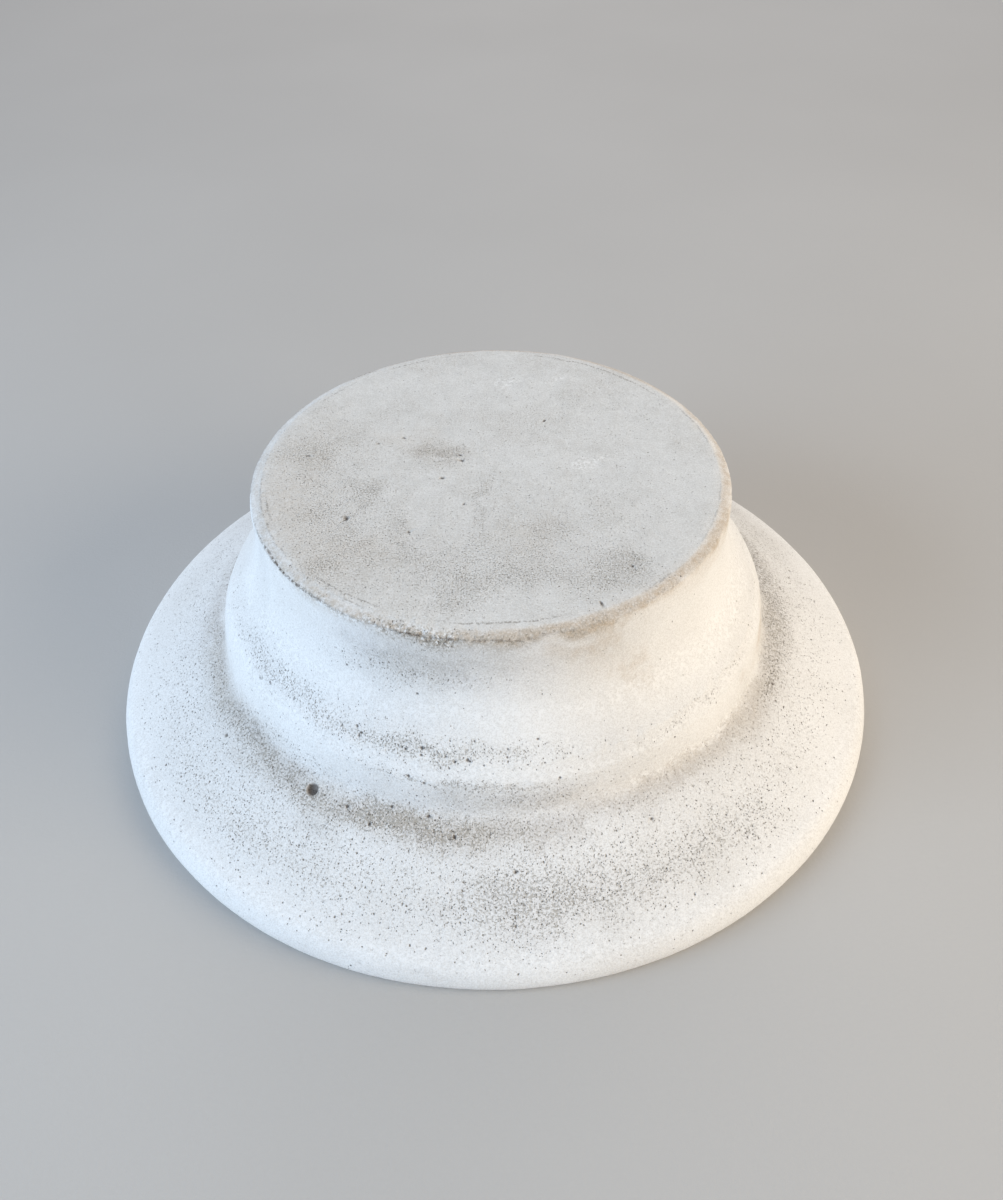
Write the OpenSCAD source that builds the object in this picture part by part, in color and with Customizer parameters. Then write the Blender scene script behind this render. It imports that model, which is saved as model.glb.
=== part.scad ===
// Round plaster jigger mould for a flared bowl, resting on its working face with its foot up.
// Z = 0 is the plane of the working face, and the Z axis is the axis the mould spins on.

/* [Flange and rim] */
// Diameter over the rim
rim_d = 260; // [250:1:275]
// Slope of the flange below the horizontal, in degrees
flange_slope = 31; // [29:0.5:34]
// Radius that rounds the rim's upper side
rim_round = 8.5; // [6:0.5:12]
// Radius that tucks the rim in under its widest line
rim_tuck = 3; // [1:0.5:5]

/* [Foot and neck] */
// Height from the working face to the top of the foot
body_h = 86.5; // [84:0.5:90]
// Diameter of the foot's cylindrical band, which drops into the jigger head
foot_d = 150; // [144:0.5:154]
// Height of the foot's cylindrical band
band_h = 9.5; // [6:0.5:12]
// Width of the worn chamfer round the foot
edge_w = 3.5; // [1:0.5:5]
// Height of the worn chamfer round the foot
edge_h = 1.5; // [0.5:0.25:3]
// Radius of the neck's concave sweep
neck_r = 40; // [35:1:42]
// Angle that the neck's sweep turns through, in degrees
neck_turn = 45; // [40:1:48]
// Height of the sloping shoulder under the neck
shoulder_h = 5.2; // [4:0.2:6]
// Slope of the shoulder below the horizontal, in degrees
shoulder_slope = 61.5; // [56:0.5:66]
// Slope of the wall between the shoulder and the flange, in degrees
wall_slope = 80; // [76:0.5:84]
// Radius of the fillet where the wall runs into the flange
crease_r = 5; // [3:0.5:7]

/* [Forming hollow] */
// Diameter of the hollow's mouth, which is the bowl's rim
bowl_d = 208; // [196:1:212]
// Depth of the hollow
bowl_depth = 42; // [36:1:45]
// Slope of the hollow's side above the horizontal, in degrees
bowl_slope = 38; // [36:0.5:42]
// Radius between the hollow's side and its floor
bowl_corner_r = 20; // [12:1:24]
// Diameter of the groove that forms the bowl's foot ring
foot_ring_d = 77; // [60:1:80]
// Depth of the foot ring's groove
foot_ring_h = 3; // [2:0.5:4]

/* [Wire reinforcement] */
// Diameter of the rim hoop, at the middle of its wire
rim_hoop_d = 226; // [220:1:228]
// Height of the rim hoop above the working face
rim_hoop_z = 10; // [8:0.5:11]
// Thickness of the rim hoop's wire
rim_wire = 4; // [3:0.5:5]
// Diameter of the neck hoop, at the middle of its wire
neck_hoop_d = 132; // [120:1:134]
// Height of the neck hoop above the working face
neck_hoop_z = 70; // [60:0.5:76]
// Thickness of the neck hoop's wire
neck_wire = 3; // [2:0.5:4]
// Length of the ferrules crimped over the hoops' ends
ferrule_len = 24; // [16:1:30]

/* [Hidden] */
$fn = 96;

// Segments in each arc of the body's outline
arc_steps = 10;
// Gap between a hoop's two ends
butt_gap = 1.5;
// Wall of the ferrule crimped over them, and its play round the wire
ferrule_wall = 0.9;
ferrule_play = 0.1;

// Unit vector at an angle, and the points of an arc from one angle to another
function ray(a) = [cos(a), sin(a)];
function arc(c, r, from, to) =
    [for (i = [0 : arc_steps]) c + r * ray(from + (to - from) * i / arc_steps)];
// Point where the line from p along angle a meets the line from q along angle b
function meet(p, a, q, b) = p + ray(a) * cross(q - p, ray(b)) / cross(ray(a), ray(b));

// Outline from the foot's chamfer down the neck to the ridge over the shoulder
neck_c = [foot_d / 2 + neck_r, body_h - edge_h - band_h];
ridge = neck_c + neck_r * ray(180 + neck_turn);
neck_pts = concat([[foot_d / 2 - edge_w, body_h], [foot_d / 2, body_h - edge_h]],
                  arc(neck_c, neck_r, 180, 180 + neck_turn));

// Outline of the rounded rim, down to the working face
rim_c = [rim_d / 2 - rim_round, rim_tuck];
rim_pts = concat(arc(rim_c, rim_round, 90 - flange_slope, 0),
                 arc([rim_d / 2 - rim_tuck, rim_tuck], rim_tuck, 0, -90));

// Foot of the shoulder, and the wall under it with its fillet into the flange
shoulder_foot = ridge + shoulder_h * [1 / tan(shoulder_slope), -1];
wall_foot = meet(shoulder_foot, -wall_slope, rim_pts[0], 180 - flange_slope);
fillet_run = crease_r * tan((wall_slope - flange_slope) / 2);
fillet_c = wall_foot - fillet_run * ray(-wall_slope) + crease_r * ray(90 - wall_slope);
step_pts = concat([shoulder_foot], arc(fillet_c, crease_r, 270 - wall_slope, 270 - flange_slope));

// Outline of the forming hollow, from its mouth to the axis
bowl_corner = [bowl_d / 2 - bowl_depth / tan(bowl_slope), bowl_depth];
corner_c = bowl_corner - [bowl_corner_r * tan(bowl_slope / 2), bowl_corner_r];
bowl_pts = concat([[bowl_d / 2, 0]],
                  arc(corner_c, bowl_corner_r, 90 - bowl_slope, 90),
                  arc([foot_ring_d / 2, bowl_depth], foot_ring_h, 0, 180),
                  [[0, bowl_depth]]);

// A round wire bent to a circle, open by the angle `gap`
module ring(d, wire, gap = 0) {
    rotate(gap / 2)
        rotate_extrude(angle = 360 - gap)
            translate([d / 2, 0])
                circle(d = wire);
}

// A tube bent along a hoop's circle, centred on the hoop's two ends; bore 0 makes it solid
module bent_tube(d, outer, bore) {
    turn = 360 * ferrule_len / (PI * d);
    rotate(-turn / 2)
        rotate_extrude(angle = turn)
            translate([d / 2, 0])
                difference() {
                    circle(d = outer);
                    if (bore > 0) circle(d = bore);
                }
}

module hoop(d, wire) {
    ring(d, wire, gap = 360 * butt_gap / (PI * d));
}

module ferrule(d, wire, solid = false) {
    bore = wire + 2 * ferrule_play;
    bent_tube(d, bore + 2 * ferrule_wall, solid ? 0 : bore);
}

// The plaster's outside and its forming hollow, before the wires are cast in
module plaster_turning() {
    rotate_extrude()
        polygon(concat([[0, body_h]], neck_pts, step_pts, rim_pts, bowl_pts));
}

// Places the rim's hoop and its ferrule
module at_rim_hoop() {
    translate([0, 0, rim_hoop_z]) children();
}

// Places the neck's hoop and its ferrule
module at_neck_hoop() {
    translate([0, 0, neck_hoop_z]) children();
}

module mould_body() {
    color("#e6e3dc")
        difference() {
            plaster_turning();
            at_rim_hoop() ring(rim_hoop_d, rim_wire);
            at_rim_hoop() ferrule(rim_hoop_d, rim_wire, solid = true);
            at_neck_hoop() ring(neck_hoop_d, neck_wire);
            at_neck_hoop() ferrule(neck_hoop_d, neck_wire, solid = true);
        }
}

module rim_hoop() {
    color("silver") at_rim_hoop() hoop(rim_hoop_d, rim_wire);
}

module rim_hoop_ferrule() {
    color("slategray") at_rim_hoop() ferrule(rim_hoop_d, rim_wire);
}

module neck_hoop() {
    color("silver") at_neck_hoop() hoop(neck_hoop_d, neck_wire);
}

module neck_hoop_ferrule() {
    color("slategray") at_neck_hoop() ferrule(neck_hoop_d, neck_wire);
}

mould_body();
rim_hoop();
rim_hoop_ferrule();
neck_hoop();
neck_hoop_ferrule();
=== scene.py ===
import math
import random

import bmesh
import bpy
import numpy as np
from mathutils import Matrix, Vector, noise


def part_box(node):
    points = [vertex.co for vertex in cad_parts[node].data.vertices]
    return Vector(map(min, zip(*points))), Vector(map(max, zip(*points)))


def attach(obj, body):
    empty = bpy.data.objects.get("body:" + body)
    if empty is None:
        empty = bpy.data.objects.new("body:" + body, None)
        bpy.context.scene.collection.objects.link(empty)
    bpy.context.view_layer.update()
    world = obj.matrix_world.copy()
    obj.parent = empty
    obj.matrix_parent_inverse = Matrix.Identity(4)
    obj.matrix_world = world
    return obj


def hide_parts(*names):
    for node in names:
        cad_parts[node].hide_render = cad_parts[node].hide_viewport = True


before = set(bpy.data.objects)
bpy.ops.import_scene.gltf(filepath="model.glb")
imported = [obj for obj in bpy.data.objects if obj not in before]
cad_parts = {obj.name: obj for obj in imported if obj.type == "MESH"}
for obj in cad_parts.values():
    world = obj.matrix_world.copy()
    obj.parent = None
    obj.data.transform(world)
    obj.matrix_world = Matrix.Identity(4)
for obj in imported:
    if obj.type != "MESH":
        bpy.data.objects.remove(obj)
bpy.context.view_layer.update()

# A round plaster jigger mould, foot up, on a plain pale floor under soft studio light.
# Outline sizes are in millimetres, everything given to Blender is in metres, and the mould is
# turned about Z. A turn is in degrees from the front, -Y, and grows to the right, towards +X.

BODY_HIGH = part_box("mould_body")[1]
MM = 0.001
SEED = 26


# ---------------------------------------------------------------- the casting's half section

RIM_R = BODY_HIGH.x / MM
BODY_H = BODY_HIGH.z / MM
FOOT_R = 75.0
EDGE_W, EDGE_H = 3.5, 1.5
RIDGE, SHOULDER = (86.7, 47.2), (89.5, 42.0)
NECK_TURN = math.radians(45)
WALL_SLOPE, FLANGE_SLOPE = math.radians(80), math.radians(31)
RIM_ROUND, RIM_TUCK = 8.5, 3.0
BOWL_R, BOWL_DEPTH, BOWL_SLOPE = 104.0, 42.0, math.radians(38)
GROOVE_R, GROOVE_HALF, GROOVE_H = 38.5, 3.0, 3.0
MAX_SIDES = 528

# Places along that section, as mm down it from the foot's flat edge
LIP_RUN, RIDGE_RUN, SHOULDER_RUN = 3.9, 44.6, 50.5
CLEAN_LIT_RUN, CLEAN_LIT_HALF = 47, 3.6
UNDER_RUN, LAND_RUN = 114, 117


def wall_foot(rim_edge):
    """Where the wall under the shoulder meets the flange."""
    wall, flange = math.tan(WALL_SLOPE), math.tan(FLANGE_SLOPE)
    radius = (SHOULDER[1] + wall * SHOULDER[0] - rim_edge - flange * RIM_R) / (wall - flange)
    return radius, SHOULDER[1] - wall * (radius - SHOULDER[0])


def corners():
    """The half section's corners from the foot's centre round to the hollow's: radius out, height,
    rounding of the corner, and spacing of the mesh on the way to it."""
    neck_z = RIDGE[1] + (RIDGE[0] - FOOT_R) / math.tan(NECK_TURN)
    rim_edge = RIM_TUCK + RIM_ROUND * math.tan((math.pi / 2 - FLANGE_SLOPE) / 2)
    bowl_flat = BOWL_R - BOWL_DEPTH / math.tan(BOWL_SLOPE)
    groove_out, groove_in = GROOVE_R + GROOVE_HALF, GROOVE_R - GROOVE_HALF
    return (
        (0, BODY_H, 0, 0),
        (FOOT_R - EDGE_W, BODY_H, 1.2, 2.2),
        (FOOT_R, BODY_H - EDGE_H, 0.9, 0.6),
        (FOOT_R, neck_z, 38.5, 0.9),
        (*RIDGE, 2.5, 1.2),
        (*SHOULDER, 1.6, 0.9),
        (*wall_foot(rim_edge), 5, 0.95),
        (RIM_R, rim_edge, RIM_ROUND, 1.4),
        (RIM_R, 0, RIM_TUCK, 1.2),
        (BOWL_R, 0, 0.7, 3),
        (bowl_flat, BOWL_DEPTH, 20, 2.6),
        (groove_out, BOWL_DEPTH, 0.4, 1),
        (groove_out, BOWL_DEPTH + GROOVE_H, 2.5, 0.5),
        (groove_in, BOWL_DEPTH + GROOVE_H, 2.5, 0.5),
        (groove_in, BOWL_DEPTH, 0.4, 0.5),
        (0, BOWL_DEPTH, 0, 2.6),
    )


def rounded(before, corner, after, radius):
    """Points round a corner's arc, no more than 12 degrees or 1.2 mm apart."""
    into = (corner - before) / np.linalg.norm(corner - before)
    out = (after - corner) / np.linalg.norm(after - corner)
    turn = math.acos(np.clip(into @ out, -1, 1))
    start = corner - into * radius * math.tan(turn / 2)
    inward = out - into * (out @ into)
    inward /= np.linalg.norm(inward)
    steps = max(2, math.ceil(turn / math.radians(12)), math.ceil(turn * radius / 1.2))
    angles = [turn * k / steps for k in range(steps + 1)]
    return [start + radius * (inward * (1 - math.cos(a)) + into * math.sin(a)) for a in angles]


def outline():
    """Stations along the half section in mm, and how far down from the foot's edge each one is."""
    rows = corners()
    at = [np.array(row[:2], float) for row in rows]
    points = [at[0]]
    for k in range(1, len(at)):
        radius, spacing = rows[k][2:]
        arc = rounded(at[k - 1], at[k], at[k + 1], radius) if radius else [at[k]]
        gap = arc[0] - points[-1]
        length = np.linalg.norm(gap)
        pieces = max(1, round(length / spacing))
        points += [points[-1] + gap * j / pieces for j in range(1, pieces)]
        if length > 0.05:
            points.append(arc[0])
        points += arc[1:]
    points = np.array(points)
    run = np.concatenate([[0], np.cumsum(np.linalg.norm(np.diff(points, axis=0), axis=1))])
    return points, run - (FOOT_R - EDGE_W)


def sides(radius, under):
    """How many sides a ring has: fewer near the axis and in the hollow."""
    count = MAX_SIDES // 2 if under else MAX_SIDES
    for limit in (50, 25, 12, 6):
        if radius < limit and count > 35:
            count //= 2
    return count


def stitch(mesh, one, other):
    """Faces between two rings, where one may have twice the sides of the other or be one point."""
    few, many = sorted((one, other), key=len)
    n = len(many)
    for k in range(n):
        a, b = many[k], many[(k + 1) % n]
        if len(few) == 1:
            mesh.faces.new((few[0], a, b))
        elif len(few) == n:
            mesh.faces.new((few[k], few[(k + 1) % n], b, a))
        else:
            c, d = few[k // 2], few[(k // 2 + 1) % len(few)]
            mesh.faces.new((c, a, b) if k % 2 == 0 else (c, a, b, d))


def turned(mesh):
    """The casting's skin before any wear."""
    points, down = outline()
    layer = mesh.verts.layers.float.new("down")
    last = None
    for (radius, height), run in zip(points, down):
        under = run > LAND_RUN
        count = sides(radius, under) if radius > 1e-6 else 1
        ring = []
        for k in range(count):
            turn = 2 * math.pi * k / count
            place = (radius * MM * math.sin(turn), -radius * MM * math.cos(turn), height * MM)
            ring.append(mesh.verts.new(place))
            ring[-1][layer] = run
        if last:
            stitch(mesh, last, ring)
        last = ring


# ---------------------------------------------------------------- wear, painted shade and highlights

# Patches on the outer wall: turn, distance down the outline, half width of each, strength
WALL = {
    "grime_and_shade": (
        # The full rings 3, 64.5 and 68 mm down darken under the foot's edge and round the crease at the
        # wall's foot: painted shade. The patches near 66 mm down darken that crease too, partly dirt and
        # partly painted shade.
        (-6, 12, 30, 8, 0.62), (-20, 14, 12, 5, 0.45), (-14, 21, 16, 4, 0.3), (-5, 5, 22, 3, 0.45),
        (-30, 42, 50, 4, 0.16), (42, 45, 25, 3, 0.12), (0, 56, 20, 5, 0.7), (0, 64.5, 400, 3.5, 0.3),
        (-74, 67, 34, 7, 0.5), (-16, 67, 26, 5, 0.38), (30, 66, 30, 5, 0.28), (82, 68, 30, 8, 0.55),
        (150, 65, 70, 5, 0.3), (0, 68, 400, 6, 0.12), (5, 89, 16, 14, 0.42), (36, 87, 20, 9, 0.28),
        (-45, 89, 24, 10, 0.12), (-30, 76, 6, 2.5, 0.5), (-88, 74, 20, 9, 0.22), (0, 3, 35, 2.5, 0.5),
        (160, 14, 40, 8, 0.3), (-150, 87, 40, 10, 0.34), (120, 88, 25, 9, 0.3), (-8, 107, 9, 1.2, 0.3),
        (0, 3, 400, 1.8, 0.25), (112, 72, 20, 8, 0.3), (-100, 12, 30, 6, 0.2),
    ),
    "tan": (
        (52, 1.8, 46, 2.8, 0.9), (8, 2.4, 28, 3, 0.95), (-48, 1.6, 44, 3, 0.8), (170, 2.5, 80, 2.6, 0.9),
        (24, 10, 5, 10, 0.55), (31, 25, 3, 6, 0.45), (80, 56, 10, 4, 0.8), (45, 64, 30, 4, 0.35),
        (-14, 67, 22, 4, 0.42), (66, 8, 22, 4, 0.3), (-62, 66, 40, 6, 0.36), (15, 58, 9, 2.5, 0.3),
    ),
    "pits": (
        (-12, 42.5, 13, 3, 0.9), (-32, 41, 20, 5, 0.55), (-58, 39.5, 17, 6, 0.55), (40, 46, 22, 2.2, 0.5),
        (6, 41, 9, 2.5, 0.6), (-8, 50.8, 20, 1.1, 0.9), (-15, 66, 18, 4.5, 0.8), (6, 87, 16, 12, 0.55),
        (36, 88, 16, 7, 0.4), (-42, 87, 24, 10, 0.36), (-40, 58, 16, 3, 0.4), (-48, 67, 22, 4, 0.5),
        (66, 68, 6, 2, 0.5), (140, 43, 50, 3, 0.6), (170, 85, 60, 10, 0.4), (-16, 3, 10, 3, 0.8),
        (-16, 20, 20, 4, 0.45), (-130, 66, 30, 4, 0.5), (0, 74, 400, 10, 0.22), (95, 68, 25, 6, 0.6),
        (5, 55, 18, 4, 0.45), (0, 86, 400, 12, 0.26),
    ),
    "rubbed_and_highlight": (
        # The full rings 31, 47.5 and 102 mm down, over the neck, the shoulder and the top of the rim's
        # rounding, are painted highlight bands; the other patches are rubbed places.
        (0, 31, 400, 4.5, 0.7), (0, 47.5, 400, 2.6, 0.75), (0, 102, 400, 4, 0.7), (-16, 2, 9, 2.6, 1),
        (-34, 3.6, 14, 1.6, 0.8), (62, 37, 30, 4, 0.8), (40, 60.5, 26, 1.6, 0.9),
    ),
    "scored": (
        (-54, 3.6, 20, 1.6, 1), (4, 3.6, 14, 1.5, 0.6), (-16, 2.2, 8, 2, 0.7),
        (-140, 3.6, 40, 1.5, 0.7), (62, 45.5, 14, 0.4, 0.35),
    ),
}
# The flat place on the neck: turn of its two edges, how soft they are, and its middle and half height
FACET_TURNS, FACET_EDGE = (-77, -63), 0.5
FACET_RUN, FACET_HALF = 17, 12

# Patches on the foot's face: X, Y, half width of each, strength
FACE = {
    "grime_and_shade": (
        (0, -40, 60, 22, 0.26), (12, -38, 9, 11, 0.3), (18, -50, 10, 7, 0.3),
        (-38, -10, 2.5, 20, 0.14), (-3, -22, 2.5, 9, 0.2), (35, -55, 25, 8, 0.2), (0, 62, 50, 8, 0.2),
    ),
    "tan": (
        (-18, 10, 11, 6, 0.3), (-56, 6, 14, 30, 0.24), (-42, -38, 18, 16, 0.26), (-28, 19, 9, 4, 0.16),
        (9, -33, 8, 9, 0.16), (-62, -20, 8, 22, 0.22),
    ),
    "pits": (
        (-42, -25, 25, 25, 0.55), (-18, 10, 12, 6, 0.9), (-54, 12, 16, 20, 0.45), (38, -48, 6, 5, 0.45),
        (0, -50, 45, 14, 0.5), (20, 30, 50, 30, 0.25), (-38, -10, 2, 20, 0.35), (-25, -22, 2, 12, 0.35),
        (-3, -18, 2, 12, 0.6), (30, -20, 30, 20, 0.3),
    ),
    "rubbed_and_highlight": ((33, 5, 6, 3, 0.8), (7, 52, 5, 3, 0.8), (22, 50, 4, 3, 0.7), (-5, -62, 10, 3, 0.5)),
    "scored": ((-33, -33, 3, 2, 0.3),),
}


def near(values, centre, half, power=2):
    """1 at the centre, falling smoothly to almost nothing beyond half on either side."""
    return np.exp(-(((values - centre) / half) ** power))


def facet(turn, down):
    """1 on the flat place at the left of the neck, which has two upright edges."""
    left, right = FACET_TURNS
    across = 1 / (1 + np.exp(-(turn - left) / FACET_EDGE)) / (1 + np.exp((turn - right) / FACET_EDGE))
    return across * near(down, FACET_RUN, FACET_HALF, 4)


def patches(rows, u, v, wraps):
    """How strong the patches are at (u, v), from 0 to 1."""
    total = np.zeros(len(u))
    for u0, v0, half_u, half_v, strength in rows:
        away = (u - u0 + 180) % 360 - 180 if wraps else u - u0
        total += strength * np.exp(-((away / half_u) ** 2) - ((v - v0) / half_v) ** 2)
    return np.clip(total, 0, 1)


def wear_maps(points, down):
    """Every wear attribute, painted shade and highlights among them, for points in mm."""
    x, y = points[:, 0], points[:, 1]
    radius, turn = np.hypot(x, y), np.degrees(np.arctan2(x, -y))
    face = np.clip((1.2 - down) / 1.8, 0, 1)
    under = np.clip((down - UNDER_RUN) / (LAND_RUN - UNDER_RUN), 0, 1)
    ragged = np.array([noise.fractal(Vector(p) * 0.06, 0.6, 2.0, 4) for p in points])
    maps = {"face": face, "under": under}
    for name in WALL:
        wall = patches(WALL[name], turn + 9 * ragged, down + 3 * ragged, True)
        foot = patches(FACE[name], x + 6 * ragged, y + 6 * ragged, False)
        maps[name] = (wall * (1 - face) + foot * face) * (1 - under)
    # A band over the shoulder has its dirt and painted shade taken off, which lightens it: a painted
    # highlight.
    maps["grime_and_shade"] *= 1 - 0.8 * near(down, CLEAN_LIT_RUN, CLEAN_LIT_HALF, 6)
    # The flat place at the neck's left is darkened: painted shade for the way it faces the light.
    maps["grime_and_shade"] = np.clip(maps["grime_and_shade"] + 0.16 * facet(turn, down), 0, 1)
    return maps, radius, turn


# ---------------------------------------------------------------- wear in the mesh

# Open air holes on the outer wall: turn, distance down the outline, diameter in mm
WALL_HOLES = (
    (-34.6, 66.5, 3.7), (-57, 72, 1.1), (27, 72, 1), (3, 77.5, 1), (-27, 66.5, 1.1), (-33, 23, 0.8),
    (-16, 25, 0.8), (67, 69, 1), (-12, 63, 1), (-7, 68, 1.1), (-19, 62.5, 0.9), (-22, 69, 1),
    (-14, 41, 1), (-5, 43, 1), (-28, 40, 0.8), (12, 50, 0.8), (-16, 50, 0.9), (-13, 51.5, 0.9),
    (132, 73, 1.4), (-128, 61, 1.2), (170, 41, 1.3), (155, 95, 1.2), (-160, 20, 1), (104, 87, 1.1),
)
# Open air holes in the foot's face: X, Y, diameter in mm
FACE_HOLES = (
    (-43, -23, 1.6), (-28, 18, 1.1), (-36, 15, 1), (-15, -4, 1.3), (-9, 5, 1.2), (-9.5, 8, 0.9),
    (-24, -30, 1.1), (18, 26.5, 1), (-58, 9, 0.9), (-8, -17, 0.9), (40, -47, 1), (30, -62, 0.9),
)
# More of them scattered in a band over the ridge: how many, then the limits and peak of the turn,
# the middle and spread of the distance down, and the limits of the diameter
BAND_HOLES = 22
BAND_TURNS, BAND_RUN, BAND_WIDTHS = (-68, 14, -12), (42, 2.6), (0.5, 0.8)


def hole_places():
    """Centre, radius and depth of every open air hole, in mm."""
    dice = random.Random(SEED)
    rows = list(WALL_HOLES)
    for _ in range(BAND_HOLES):
        turn, run = dice.triangular(*BAND_TURNS), dice.gauss(*BAND_RUN)
        rows.append((turn, run, dice.uniform(*BAND_WIDTHS)))
    stations, runs = outline()
    holes = []
    for turn, run, width in rows:
        radius, height = (np.interp(run, runs, stations[:, k]) for k in (0, 1))
        a = math.radians(turn)
        holes.append(((radius * math.sin(a), -radius * math.cos(a), height), width / 2))
    holes += [((x, y, BODY_H), width / 2) for x, y, width in FACE_HOLES]
    return [(np.array(place), radius, 0.95 * radius) for place, radius in holes]


def refine(mesh, holes):
    """Cuts the skin finer round each hole."""
    centres = np.array([f.calc_center_median() for f in mesh.faces]) / MM
    chosen = np.zeros(len(centres), bool)
    for place, radius, _ in holes:
        chosen |= np.linalg.norm(centres - place, axis=1) < radius + 0.75
    faces = [f for f, wanted in zip(mesh.faces, chosen) if wanted]
    edges = list({e for f in faces for e in f.edges})
    bmesh.ops.subdivide_edges(mesh, edges=edges, cuts=3, use_grid_fill=True)


def field(points, scale, octaves=3, offset=0.0):
    """Smooth noise between about -1 and 1 at points in mm, with features about 1 / scale mm wide."""
    shift = Vector((offset, offset, offset))
    return np.array([noise.fractal(Vector(p) * scale + shift, 0.8, 2.0, octaves) for p in points])


def sunk(points, maps, turn, down, holes):
    """How far in mm each point of the skin is worn inwards, and which ones line a hole."""
    outer = 1 - maps["under"]
    tooled = np.stack([0.004 * points[:, 0], 0.004 * points[:, 1], down * 0.16], axis=1)
    deep = outer * (0.16 * field(points, 0.022) + 0.10 * field(tooled, 1, 2, 7) * (1 - maps["face"]))
    deep += outer * 0.045 * field(points, 0.35, 2, 3)

    crumb = np.abs(field(points, 0.9, 3, 11))
    edge = near(down, LIP_RUN, 1.3) + 0.6 * near(down, 0, 1)
    chips = near(turn, -16, 10) * near(down, 2.4, 2.2)
    deep += edge * (0.12 + 0.45 * crumb * (0.35 + np.clip(field(points, 0.05, 2, 5), 0, 1)))
    deep += 0.95 * chips * crumb + 0.35 * maps["scored"] * (0.4 + crumb)
    ridge = 0.7 * near(down, RIDGE_RUN, 1.4) + near(down, SHOULDER_RUN, 1)
    deep += ridge * (0.5 * np.clip(field(points, 0.16, 3, 17) - 0.12, 0, 1) + 0.12 * crumb)
    deep += outer * maps["pits"] * 0.16 * np.clip(field(points, 0.8, 3, 23), 0, 1)

    deep += 0.9 * facet(turn, down)

    lining = np.zeros(len(points))
    for place, size, depth in holes:
        away = np.linalg.norm(points - place, axis=1) / size
        deep += depth * np.sqrt(np.clip(1 - away**2, 0, 1)) - 0.05 * near(away, 1.15, 0.2)
        lining = np.maximum(lining, np.clip((1.08 - away) * 5, 0, 1))
    under = maps["under"]
    deep += under * (0.05 * field(points, 0.03) + 0.02 * field(tooled, 2, 2, 9))
    return deep, lining


CHANNEL_PLAY = 0.03 * MM
WIRE_STEPS, SLEEVE_STEPS, TUBE_SIDES = 150, 6, 12


def cavity(mesh, hoop, ferrule):
    """The skin of the channel that the plaster leaves round a hoop and the ferrule on its joint."""
    low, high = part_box(hoop)
    wire = (high.z - low.z) / 2
    middle, height = high.x - wire, (high.z + low.z) / 2
    low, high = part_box(ferrule)
    sleeve, reach = (high.z - low.z) / 2, high.y / middle
    around = 2 * math.pi - 2 * reach
    angles = [reach + around * k / WIRE_STEPS for k in range(WIRE_STEPS + 1)]
    stations = [(a, wire + CHANNEL_PLAY) for a in angles]
    sleeve_angles = [reach * k / SLEEVE_STEPS for k in range(-SLEEVE_STEPS, SLEEVE_STEPS + 1)]
    stations += [(a, sleeve + CHANNEL_PLAY) for a in sleeve_angles]
    rings = []
    for a, size in stations:
        ring = []
        for k in range(TUBE_SIDES):
            b = 2 * math.pi * k / TUBE_SIDES
            out, up = middle + size * math.cos(b), height + size * math.sin(b)
            ring.append(mesh.verts.new((out * math.cos(a), out * math.sin(a), up)))
        rings.append(ring)
    faces = []
    for one, other in zip(rings, rings[1:] + rings[:1]):
        for k in range(TUBE_SIDES):
            n = (k + 1) % TUBE_SIDES
            faces.append(mesh.faces.new((one[k], one[n], other[n], other[k])))
    return faces


def casting():
    """The plaster: a turned skin with its wear, its air holes and the channels of its two hoops."""
    mesh = bmesh.new()
    turned(mesh)
    holes = hole_places()
    refine(mesh, holes)
    bmesh.ops.recalc_face_normals(mesh, faces=mesh.faces)
    mesh.verts.ensure_lookup_table()
    mesh.normal_update()
    layer = mesh.verts.layers.float["down"]
    down = np.array([v[layer] for v in mesh.verts])
    points = np.array([v.co for v in mesh.verts]) / MM
    normals = np.array([v.normal for v in mesh.verts])
    maps, radius, turn = wear_maps(points, down)
    deep, maps["lining"] = sunk(points, maps, turn, down, holes)
    placed = (points - normals * deep[:, None]) * MM
    placed[:, 2] = np.maximum(placed[:, 2], 0)
    for vert, place in zip(mesh.verts, placed):
        vert.co = place
    around = np.radians(turn)
    drum = np.minimum(radius, FOOT_R - EDGE_W)
    flow = np.stack([drum * np.sin(around), -drum * np.cos(around), -np.maximum(down, 0)], axis=1) * MM

    shell = cavity(mesh, "rim_hoop", "rim_hoop_ferrule")
    shell += cavity(mesh, "neck_hoop", "neck_hoop_ferrule")
    bmesh.ops.recalc_face_normals(mesh, faces=shell)
    bmesh.ops.reverse_faces(mesh, faces=shell)
    data = bpy.data.meshes.new("plaster_casting")
    mesh.to_mesh(data)
    mesh.free()
    spare = len(data.vertices) - len(points)
    for name, values in maps.items():
        slot = data.attributes.new(name, "FLOAT", "POINT")
        slot.data.foreach_set("value", np.concatenate([values, np.zeros(spare)]).astype(np.float32))
    slot = data.attributes.new("flow", "FLOAT_VECTOR", "POINT")
    slot.data.foreach_set("vector", np.vstack([flow, np.zeros((spare, 3))]).astype(np.float32).ravel())
    data.attributes.remove(data.attributes["down"])
    data.polygons.foreach_set("use_smooth", [True] * len(data.polygons))
    return data


# ---------------------------------------------------------------- materials


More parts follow.
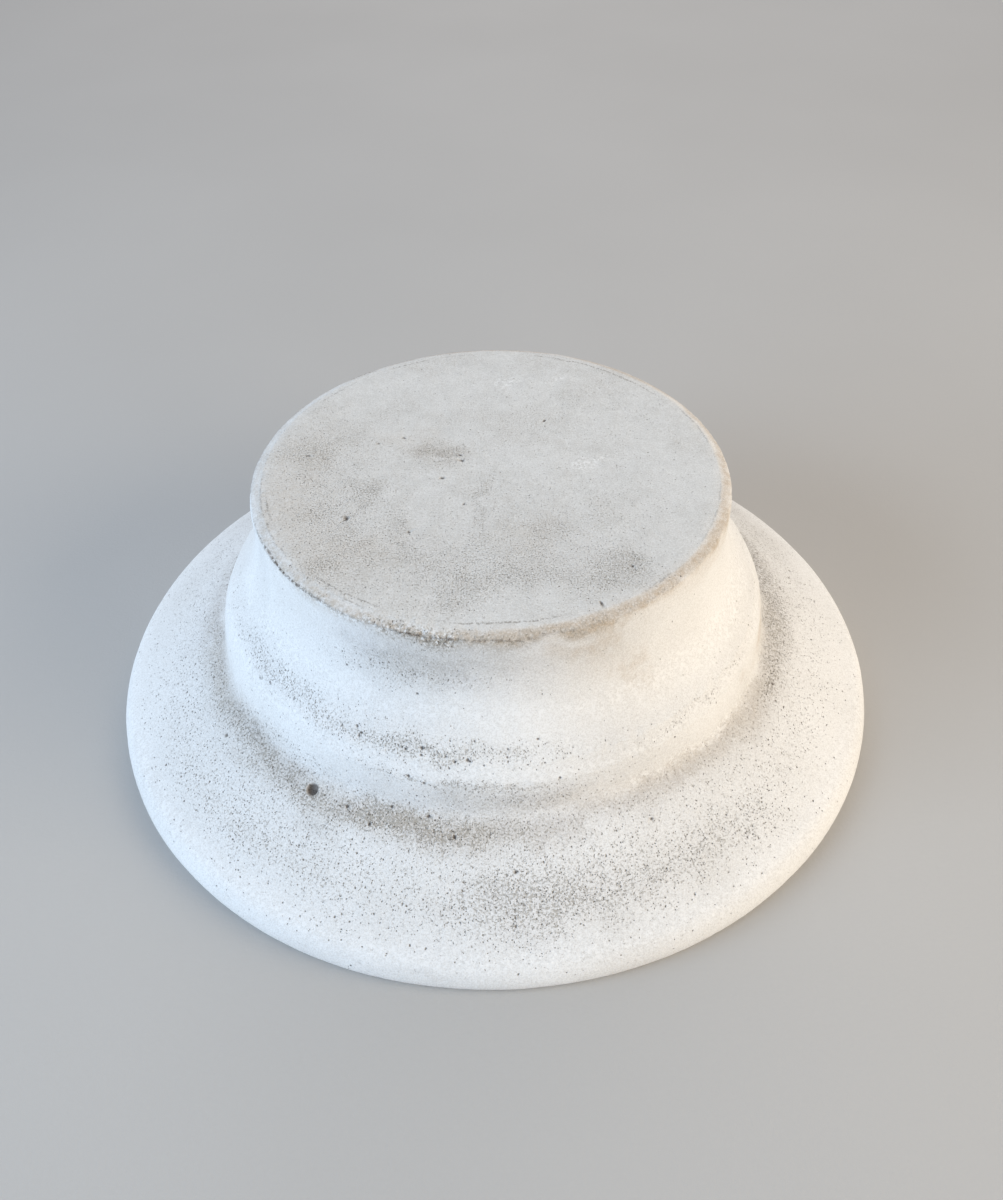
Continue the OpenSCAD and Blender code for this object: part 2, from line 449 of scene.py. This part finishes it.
class Shading:
    """Short calls that build one material's node tree."""

    def __init__(self, name):
        self.material = bpy.data.materials.new(name)
        self.material.use_nodes = True
        self.tree = self.material.node_tree
        self.surface = self.tree.nodes["Principled BSDF"]

    def put(self, kind, settings=(), **inputs):
        """One node of that kind, with its settings and its inputs by socket name."""
        node = self.tree.nodes.new("ShaderNode" + kind)
        for name, value in dict(settings).items():
            setattr(node, name, value)
        for name, value in inputs.items():
            self.feed(node.inputs[name.replace("_", " ")], value)
        return node

    def feed(self, socket, value):
        if isinstance(value, bpy.types.NodeSocket):
            self.tree.links.new(value, socket)
        elif isinstance(value, tuple) and len(value) == 3 and socket.type == "RGBA":
            socket.default_value = (*value, 1)
        else:
            socket.default_value = value

    def set(self, name, value):
        self.feed(self.surface.inputs[name], value)

    def place(self):
        return self.put("TexCoord").outputs["Object"]

    def map(self, name, vector=False):
        node = self.put("Attribute", {"attribute_name": name})
        return node.outputs["Vector" if vector else "Fac"]

    def stretch(self, vector, scale):
        return self.put("Mapping", Vector=vector, Scale=scale).outputs["Vector"]

    def noise(self, vector, scale, detail=3.0, rough=0.55):
        settings = {"Vector": vector, "Scale": scale, "Detail": detail, "Roughness": rough}
        return self.put("TexNoise", **settings).outputs["Fac"]

    def bend(self, vector, scale, reach):
        """The vector pushed about by up to reach, so that what it carries has ragged outlines."""
        noise_node = self.put("TexNoise", Vector=vector, Scale=scale, Detail=2.0)
        push = self.put("VectorMath", {"operation": "SCALE"}, Scale=reach)
        self.feed(push.inputs[0], noise_node.outputs["Color"])
        total = self.put("VectorMath", {"operation": "ADD"})
        self.feed(total.inputs[0], vector)
        self.feed(total.inputs[1], push.outputs[0])
        return total.outputs[0]

    def cells(self, vector, scale):
        """Distance from the middle of a random cell, and a random number of that cell."""
        node = self.put("TexVoronoi", Vector=vector, Scale=scale)
        split = self.put("SeparateColor", Color=node.outputs["Color"])
        return node.outputs["Distance"], split.outputs["Red"]

    def math(self, operation, a, b=0.0):
        node = self.put("Math", {"operation": operation})
        self.feed(node.inputs[0], a)
        self.feed(node.inputs[1], b)
        return node.outputs[0]

    def add(self, a, b):
        return self.math("ADD", a, b)

    def times(self, a, b):
        return self.math("MULTIPLY", a, b)

    def fade(self, value, low, high, to_low=0.0, to_high=1.0):
        """A smooth step from to_low to to_high as value goes from low to high."""
        node = self.put("MapRange", {"interpolation_type": "SMOOTHSTEP"}, Value=value)
        for socket, v in zip(("From Min", "From Max", "To Min", "To Max"), (low, high, to_low, to_high)):
            self.feed(node.inputs[socket], v)
        return node.outputs["Result"]

    def line(self, value, at, half):
        """1 where value is at, falling smoothly to 0 at half away from it."""
        away = self.math("ABSOLUTE", self.math("SUBTRACT", value, at))
        return self.fade(away, half * 0.3, half, 1.0, 0.0)

    def mix(self, amount, a, b):
        node = self.put("Mix", {"data_type": "RGBA", "clamp_factor": True})
        for socket, v in ((0, amount), (6, a), (7, b)):
            self.feed(node.inputs[socket], v)
        return node.outputs[2]

    def bump(self, height, distance, strength=1.0):
        normal = self.put("Bump", Height=height, Distance=distance, Strength=strength).outputs["Normal"]
        self.set("Normal", normal)


# Colours of the plaster, of what is on it and of its painted shade and highlights, in linear RGB; a pair
# is the two ends of a mix
WHITE = ((0.85, 0.84, 0.825), (0.92, 0.915, 0.905))
STONE = ((0.76, 0.755, 0.735), (0.69, 0.685, 0.665))
HANDLED = ((0.82, 0.80, 0.755), (0.74, 0.71, 0.66))
DIRT_AND_SHADE = ((0.42, 0.40, 0.385), (0.41, 0.40, 0.425))
RUST = (0.53, 0.405, 0.275)
DUST = (0.45, 0.41, 0.35)
SPECK = (0.34, 0.30, 0.24)
GRIT = (0.20, 0.17, 0.14)
DULL = (0.36, 0.33, 0.28)
BRIGHT = (0.98, 0.98, 0.97)
CHALK_AND_HIGHLIGHT = (0.97, 0.965, 0.955)
CAVITY_SHADE = (0.14, 0.115, 0.095)
CUT = (0.13, 0.10, 0.075)
HOLE_SHADE = (0.13, 0.105, 0.09)
PINHOLE_SHADE = (0.19, 0.155, 0.125)


def plaster():
    """Pottery plaster: chalky white, sucked grey and dirty, with pinholes, worn places and painted
    highlight bands, and painted shade in its crease and holes.
    """
    s = Shading("chalky_plaster")
    place, flow = s.place(), s.map("flow", vector=True)
    grime_and_shade, tan, pits = s.map("grime_and_shade"), s.map("tan"), s.map("pits")
    rubbed_and_highlight, scored, face = s.map("rubbed_and_highlight"), s.map("scored"), s.map("face")
    under, lining = s.map("under"), s.map("lining")

    cloud = s.noise(place, 28, 4)
    mottle = s.noise(place, 190, 4, 0.65)
    grain = s.noise(place, 2100, 3, 0.75)
    fine = s.noise(s.stretch(flow, (2000, 2000, 1500)), 1, 3, 0.75)
    coarse = s.noise(s.stretch(flow, (1250, 1250, 950)), 1, 3, 0.65)

    # Bare plaster: white outside, stone grey on the foot's face, streaked round in the hollow
    white = s.mix(s.fade(cloud, 0.3, 0.7), *WHITE)
    stone = s.mix(s.fade(mottle, 0.3, 0.7), *STONE)
    colour = s.mix(s.times(face, 0.9), white, stone)
    streaks = s.noise(s.stretch(flow, (9, 9, 300)), 1, 3)
    colour = s.mix(under, colour, s.mix(s.fade(streaks, 0.35, 0.7), *HANDLED))

    # Soft dirt, painted shade in the crease at the wall's foot and under the foot's edge, and brown stains
    soft = s.times(s.fade(s.noise(place, 330, 4, 0.7), 0.3, 0.7, 0.45, 1.0), grime_and_shade)
    dirt_and_shade = s.mix(s.fade(cloud, 0.4, 0.6), *DIRT_AND_SHADE)
    colour = s.mix(s.times(soft, s.fade(face, 0, 1, 0.55, 0.32)), colour, dirt_and_shade)
    rust = s.times(s.fade(s.noise(place, 420, 4, 0.7), 0.3, 0.7, 0.45, 1.0), tan)
    colour = s.mix(s.times(rust, 0.8), colour, RUST)

    # Dust, specks and grit, each sparser and darker than the one before
    patchy = s.times(face, s.fade(s.noise(place, 55, 4, 0.6), 0.42, 0.66, 0.05, 0.45))
    dusty = s.add(s.add(s.times(grime_and_shade, 0.6), s.times(tan, 0.35)), s.add(s.times(pits, 0.3), patchy))
    dust = s.times(s.fade(fine, 0.38, 0.62), s.fade(dusty, 0, 0.9, 0.06, 0.50))
    colour = s.mix(s.times(dust, s.fade(under, 0, 1, 1, 0.4)), colour, DUST)
    edge = s.math("SUBTRACT", 0.66, s.add(s.times(dusty, 0.09), s.times(pits, 0.12)))
    specks = s.times(s.fade(fine, edge, s.add(edge, 0.08)), s.fade(under, 0, 1, 1, 0.3))
    colour = s.mix(s.times(specks, 0.46), colour, SPECK)
    edge = s.math("SUBTRACT", 0.745, s.add(s.times(pits, 0.10), s.times(grime_and_shade, 0.045)))
    grit = s.times(s.fade(coarse, edge, s.add(edge, 0.05)), s.fade(under, 0, 1, 1, 0.2))
    colour = s.mix(s.times(grit, 0.75), colour, GRIT)

    # The plaster's own grain, then chalk on rubbed places and painted highlight bands, and the holes in
    # crumbled places painted dark as painted shade
    shaded = s.times(s.fade(grain, 0.44, 0.62), s.fade(face, 0, 1, 0.20, 0.17))
    colour = s.mix(shaded, colour, DULL)
    lit = s.times(s.fade(grain, 0.50, 0.34), s.fade(face, 0, 1, 0.34, 0.26))
    colour = s.mix(lit, colour, BRIGHT)
    chalk_and_highlight = s.times(rubbed_and_highlight, s.fade(s.noise(place, 800, 3, 0.7), 0.50, 0.57))
    colour = s.mix(s.times(chalk_and_highlight, 0.85), colour, CHALK_AND_HIGHLIGHT)
    crumbled = s.times(s.times(rubbed_and_highlight, pits), s.fade(s.noise(place, 950, 3, 0.7), 0.55, 0.61))
    colour = s.mix(s.times(crumbled, 0.9), colour, CAVITY_SHADE)

    # Pinholes and the inside of the air holes painted dark as painted shade, and dark lines round the foot
    colour, holes = pinholes(s, colour, flow, pits)
    holes = s.math("MAXIMUM", holes, grit)
    colour = s.mix(rings(s, place, flow, scored, face), colour, CUT)
    colour = s.mix(s.times(lining, 0.8), colour, HOLE_SHADE)
    s.set("Base Color", colour)

    rough = s.fade(grain, 0.3, 0.7, 0.80, 0.95)
    s.set("Roughness", s.math("SUBTRACT", rough, s.add(s.times(rubbed_and_highlight, 0.10), s.times(under, 0.22))))
    s.surface.inputs["Specular IOR Level"].default_value = 0.3
    height = s.add(s.times(grain, 0.20), s.times(mottle, 0.35))
    height = s.math("SUBTRACT", height, s.add(holes, s.times(specks, 0.25)))
    s.bump(s.times(height, s.fade(under, 0, 1, 1, 0.35)), 0.0004)
    return s.material


# The torn line on the foot's edge, and for each faint line inside it the radius, the scale of its
# breaks and its strength. Lengths are in metres, and a half width is from a line's middle to its end.
TORN_AT = -0.0036
TORN_HALF = 0.0010
INNER_LINES = ((0.0713, 25, 0.42), (0.0695, 18, 0.55))
INNER_HALF = 0.0005


def rings(s, place, flow, scored, face):
    """Thin dark lines round the foot: a torn one on its outer edge and two faint ones inside it."""
    torn = s.noise(place, 900, 4, 0.75)
    wander = s.times(s.math("SUBTRACT", s.noise(place, 130, 3, 0.7), 0.5), 0.0022)
    flat = s.put("VectorMath", {"operation": "LENGTH"})
    s.feed(flat.inputs[0], s.stretch(place, (1, 1, 0)))
    radius = s.add(flat.outputs["Value"], wander)
    down = s.add(s.put("SeparateXYZ", Vector=flow).outputs["Z"], wander)
    total = s.times(s.line(down, TORN_AT, TORN_HALF), s.times(scored, s.fade(torn, 0.44, 0.52)))
    for at, scale, strength in INNER_LINES:
        broken = s.times(s.fade(s.noise(place, scale, 2), 0.46, 0.56), s.fade(torn, 0.42, 0.56))
        shown = s.times(s.times(broken, strength), face)
        total = s.add(total, s.times(s.line(radius, at, INNER_HALF), shown))
    return total


def pinholes(s, colour, flow, pits):
    """Pinholes of two sizes painted dark as painted shade, as thick as the map of pits says, and the depth
    that they have.
    """
    depth = None
    bent = s.bend(flow, 900, 0.0006)
    for scale, size, share, dark in ((1150, 0.27, 0.12, 0.8), (2300, 0.36, 0.4, 0.7)):
        distance, chance = s.cells(s.stretch(bent, (scale, scale, scale * 0.6)), 1)
        here = s.math("LESS_THAN", chance, s.add(s.times(pits, share), 0.008))
        hole = s.times(here, s.fade(distance, size * 0.4, size, 1.0, 0.0))
        colour = s.mix(s.times(hole, dark), colour, PINHOLE_SHADE)
        depth = hole if depth is None else s.math("MAXIMUM", depth, hole)
    return colour, depth


def galvanised():
    """Hot-dipped wire: dull zinc with spangle, pale bloom and a little white dust from the plaster."""
    s = Shading("zinc_wire")
    place = s.place()
    bloom, fine = s.noise(place, 160, 4, 0.6), s.noise(place, 1400, 3, 0.7)
    spangle = s.cells(place, 420)[1]
    zinc = s.mix(spangle, (0.44, 0.45, 0.46), (0.60, 0.61, 0.62))
    zinc = s.mix(s.fade(bloom, 0.52, 0.7, 0.0, 0.7), zinc, (0.74, 0.74, 0.72))
    s.set("Base Color", s.mix(s.fade(fine, 0.6, 0.72, 0.0, 0.5), zinc, (0.80, 0.79, 0.76)))
    s.surface.inputs["Metallic"].default_value = 0.85
    s.set("Roughness", s.fade(bloom, 0.3, 0.7, 0.38, 0.68))
    s.bump(s.add(fine, s.times(bloom, 0.5)), 0.0001)
    return s.material


def crimped_steel():
    """Plain steel sleeve: grey, brushed along its length, rusting where the plaster's water got at it."""
    s = Shading("steel_sleeve")
    place = s.place()
    rust, fine = s.noise(place, 260, 5, 0.65), s.noise(s.stretch(place, (2400, 300, 2400)), 1, 3, 0.6)
    steel = s.mix(fine, (0.33, 0.33, 0.34), (0.50, 0.50, 0.50))
    stained = s.fade(rust, 0.54, 0.66)
    s.set("Base Color", s.mix(s.times(stained, 0.85), steel, (0.30, 0.14, 0.06)))
    s.set("Metallic", s.fade(stained, 0.0, 1.0, 0.9, 0.15))
    s.set("Roughness", s.fade(stained, 0.0, 1.0, 0.40, 0.85))
    s.bump(s.add(fine, s.times(stained, 0.8)), 0.00008)
    return s.material


def floor_paper():
    """Pale matt studio paper."""
    s = Shading("floor_paper")
    place = s.place()
    shade = s.fade(s.noise(place, 3, 3), 0.3, 0.7)
    s.set("Base Color", s.mix(shade, (0.50, 0.488, 0.472), (0.525, 0.513, 0.497)))
    s.set("Roughness", s.fade(s.noise(place, 700, 2), 0.3, 0.7, 0.85, 0.95))
    s.bump(s.noise(place, 900, 3), 0.00015, 0.5)
    return s.material


# ---------------------------------------------------------------- the object


def add_mould():
    piece = bpy.data.objects.new("plaster_casting", casting())
    bpy.context.scene.collection.objects.link(piece)
    piece.data.materials.append(plaster())
    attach(piece, "root")
    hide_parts("mould_body")


def finish_hardware():
    """Better materials for the hoops and ferrules, which keep the CAD's shape."""
    wire, steel = galvanised(), crimped_steel()
    looks = {"rim_hoop": wire, "neck_hoop": wire, "rim_hoop_ferrule": steel, "neck_hoop_ferrule": steel}
    for name, material in looks.items():
        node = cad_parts[name]
        node.data.materials.clear()
        node.data.materials.append(material)


# ---------------------------------------------------------------- the studio

CAMERA_AT = (0.0028, -0.2921, 0.3011)
CAMERA_DOWN, CAMERA_ROLL = 42.79, -1.01
LENS, SENSOR = 34.5, 36
FLOOR_HALF = 4.0
AMBIENT = (0.345, 0.355, 0.385, 1)


def add_floor():
    mesh = bmesh.new()
    bmesh.ops.create_grid(mesh, x_segments=8, y_segments=8, size=FLOOR_HALF)
    data = bpy.data.meshes.new("floor")
    mesh.to_mesh(data)
    mesh.free()
    floor = bpy.data.objects.new("floor", data)
    bpy.context.scene.collection.objects.link(floor)
    data.materials.append(floor_paper())


def add_softbox(name, place, size, watts, colour):
    """A square soft light that faces the mould."""
    light = bpy.data.lights.new(name, "AREA")
    light.shape, light.size, light.energy, light.color = "SQUARE", size, watts, colour
    lamp = bpy.data.objects.new(name, light)
    bpy.context.scene.collection.objects.link(lamp)
    lamp.location = place
    lamp.rotation_mode = "QUATERNION"
    aim = Vector((0, 0, BODY_H * MM / 2)) - Vector(place)
    lamp.rotation_quaternion = aim.to_track_quat("-Z", "Y")


def add_studio():
    add_floor()
    add_softbox("window_left", (-0.97, -0.47, 0.52), 0.8, 11, (0.60, 0.79, 1.0))
    add_softbox("lamp_right", (0.98, -0.42, 0.50), 0.8, 10, (1.0, 0.86, 0.66))
    add_softbox("back_fill", (0.1, 1.1, 0.9), 1.0, 5, (1.0, 0.97, 0.93))
    world = bpy.data.worlds.new("studio")
    world.use_nodes = True
    world.node_tree.nodes["Background"].inputs["Color"].default_value = AMBIENT
    bpy.context.scene.world = world
    bpy.context.scene.view_settings.view_transform = "Standard"


def add_camera():
    data = bpy.data.cameras.new("camera")
    data.lens, data.sensor_width = LENS, SENSOR
    data.clip_start, data.clip_end = 0.01, 20
    camera = bpy.data.objects.new("camera", data)
    bpy.context.scene.collection.objects.link(camera)
    tilt = Matrix.Rotation(math.radians(90 - CAMERA_DOWN), 4, "X")
    roll = Matrix.Rotation(math.radians(CAMERA_ROLL), 4, "Z")
    camera.matrix_world = Matrix.Translation(CAMERA_AT) @ tilt @ roll
    bpy.context.scene.camera = camera


add_camera()
add_mould()
finish_hardware()
add_studio()

bpy.context.view_layer.update()
